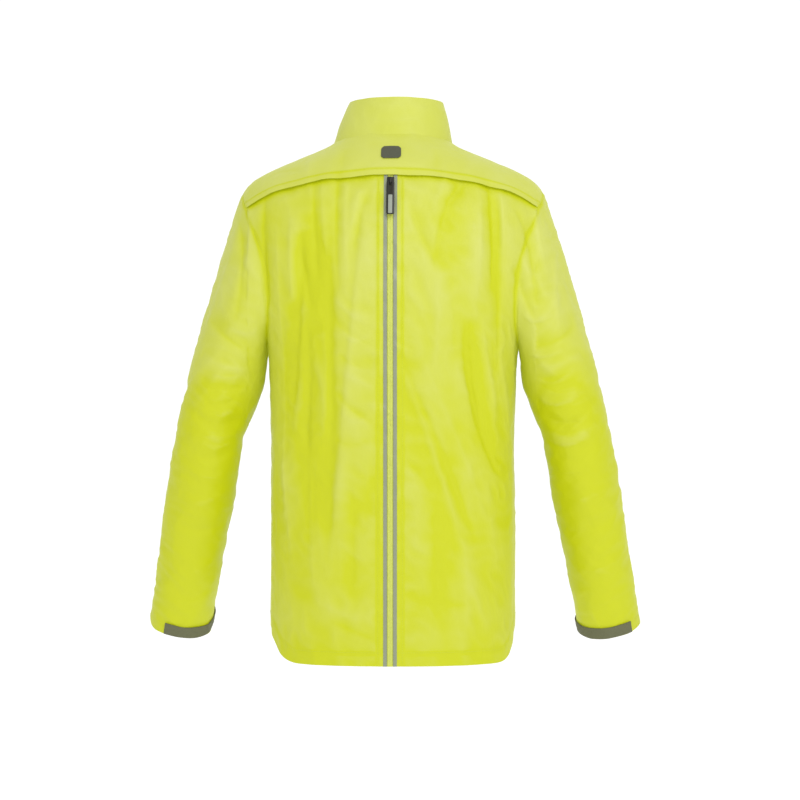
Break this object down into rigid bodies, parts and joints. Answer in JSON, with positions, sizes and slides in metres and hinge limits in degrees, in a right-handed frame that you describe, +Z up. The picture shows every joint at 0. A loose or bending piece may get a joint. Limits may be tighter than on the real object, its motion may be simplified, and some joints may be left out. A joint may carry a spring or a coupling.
{
  "type": "rain jacket",
  "caption": "Hi-vis yellow rain jacket, filled out as worn: stand-up collar, back yoke flap over a centre back zip, reflective strips, grey cuff tabs",
  "frame": {"origin": "in the middle of the neck, level with the side neck points, where a wearer's shoulders carry the jacket", "axes": "+X to the wearer's right, +Y the way the wearer faces, +Z up; the back looks along -Y"},
  "size_m": [0.7242, 0.2881, 0.8048],
  "materials": {
    "yellow_cloth": "fine coated nylon with a soft sheen",
    "grey_tab": "matt dark grey webbing",
    "yellow_tape": "matt woven zip tape",
    "reflective": "grey reflective piping",
    "black_plastic": "semi-gloss black",
    "pale_insert": "pale grey rubber",
    "dark_patch": "matt dark grey"
  },
  "bodies": {
    "jacket": {"back_left": "yellow_cloth", "back_right": "yellow_cloth", "yoke": "yellow_cloth", "front_left": "yellow_cloth", "front_right": "yellow_cloth", "collar": "yellow_cloth", "sleeve_left": "yellow_cloth", "sleeve_right": "yellow_cloth", "cuff_tab_left": "grey_tab", "cuff_tab_right": "grey_tab", "back_zip_tape": "yellow_tape", "back_zip_teeth": "yellow_tape", "back_reflective_left": "reflective", "back_reflective_right": "reflective", "back_zip_slider": "black_plastic", "front_zip_tape": "yellow_tape", "front_zip_teeth": "yellow_tape", "front_zip_slider": "black_plastic", "yoke_patch": "dark_patch"},
    "back_pull": {"back_zip_pull": "black_plastic", "back_zip_pull_insert": "pale_insert"},
    "front_pull": {"front_zip_pull": "black_plastic"}
  },
  "joints": [
    {"name": "back_pull_hinge", "type": "hinge", "parent": "jacket", "child": "back_pull", "pos_m": [0, -0.1187, -0.06114], "axis": [-1, 0, 0], "range_deg": [0, 130]},
    {"name": "front_pull_hinge", "type": "hinge", "parent": "jacket", "child": "front_pull", "pos_m": [0.00397, 0.0807, -0.01455], "axis": [0.9969, 0.0168, -0.0773], "range_deg": [0, 130]}
  ]
}
